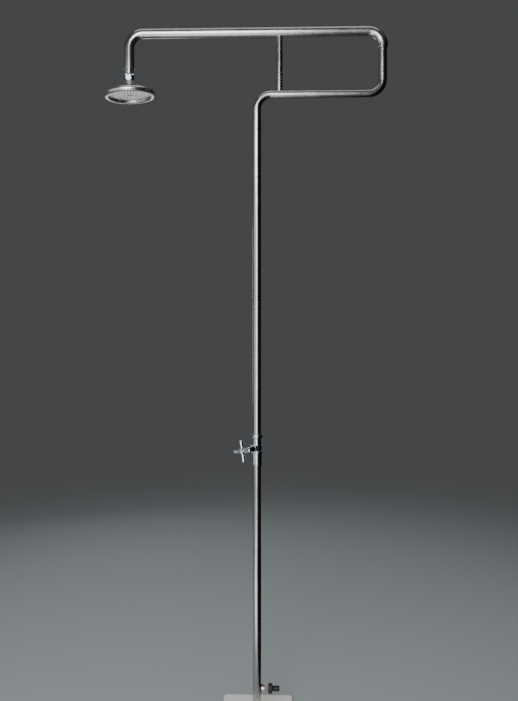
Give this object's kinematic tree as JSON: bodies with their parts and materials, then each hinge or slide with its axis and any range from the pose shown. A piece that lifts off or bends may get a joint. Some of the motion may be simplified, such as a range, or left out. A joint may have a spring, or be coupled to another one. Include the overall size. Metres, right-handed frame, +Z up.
{
  "type": "free-standing shower",
  "caption": "Free-standing shower column: bent tube pole with a loop and a long arm, swivelling rain head, cross-handle stop valve and hose inlet on a base plate.",
  "frame": {"origin": "on the floor, at the centre of the underside of the base pad, on the pole's axis", "axes": "+Z up the pole; +X towards the loop and the hose inlet; the shower head is on the -X side; the user stands on the -X side and the valve's handle points to -X and -Y"},
  "size_m": [0.9463, 0.235, 2.3],
  "materials": {
    "stainless": "satin ground tube",
    "polished_steel": "polished",
    "chrome": "bright chrome plate on brass",
    "base_paint": "fine-textured powder coat, off-white",
    "black_plastic": "semi-matt moulded",
    "rubber": "matt",
    "brass": "machined",
    "ptfe": "waxy white",
    "silicone": "matt grey"
  },
  "bodies": {
    "stand": {"base_pad": "rubber", "base_plate": "base_paint", "foot_screw": "stainless", "foot_plug": "stainless", "lower_pole": "stainless", "inlet_saddle": "stainless", "inlet_nipple": "stainless", "inlet_washer": "rubber", "hose_adapter": "black_plastic", "hose_seal_ring": "rubber", "lower_socket": "chrome", "lower_washer": "rubber", "valve_body": "chrome", "upper_washer": "rubber", "upper_tailpiece": "brass", "upper_union_nut": "chrome", "bonnet_gasket": "ptfe", "valve_bonnet": "chrome", "gland_packing": "ptfe", "gland_nut": "chrome", "upper_pole": "stainless", "brace_strut": "stainless", "arm_bush": "stainless", "arm_tube": "stainless", "arm_outlet": "chrome", "swivel_ball": "chrome"},
    "valve_handle": {"valve_spindle": "brass", "spindle_clip": "stainless", "handle_cross": "chrome", "handle_screw": "stainless", "handle_cap": "chrome"},
    "valve_closer": {"valve_plug": "brass", "plug_washer": "rubber", "plug_screw": "brass"},
    "seat_ring": {"ball_seat_ring": "ptfe"},
    "seal_ring": {"ball_seal_ring": "ptfe"},
    "shower_head": {"ball_collar": "chrome", "head_neck": "chrome", "neck_washer": "rubber", "neck_locknut": "brass", "inlet_filter": "stainless", "head_bell": "polished_steel", "head_gasket": "rubber", "nozzle_mat": "silicone", "head_face": "polished_steel", "head_screw": "stainless"}
  },
  "joints": [
    {"name": "valve_handle_turn", "type": "hinge", "parent": "stand", "child": "valve_handle", "pos_m": [0, 0, 0.898], "axis": [-0.6157, -0.788, 0], "range_deg": [0, 900]},
    {"name": "valve_plug_travel", "type": "slide", "parent": "stand", "child": "valve_closer", "axis": [-0.6157, -0.788, 0], "range_m": [0, 0.005]},
    {"name": "head_tilt_side", "type": "hinge", "parent": "stand", "child": "seat_ring", "pos_m": [-0.428, 0, 2.133], "axis": [0, 1, 0], "range_deg": [-6.8, 13.2]},
    {"name": "head_tilt_front", "type": "hinge", "parent": "seat_ring", "child": "seal_ring", "pos_m": [-0.428, 0, 2.133], "axis": [0.9984, 0, 0.0558], "range_deg": [-10, 10]},
    {"name": "head_spin", "type": "hinge", "parent": "seal_ring", "child": "shower_head", "pos_m": [-0.428, 0, 2.133], "axis": [-0.0558, 0, 0.9984], "continuous": true}
  ],
  "couplings": [
    {"joint": "valve_plug_travel", "follows": "valve_handle_turn", "m_per_rad": 0.0003183}
  ]
}
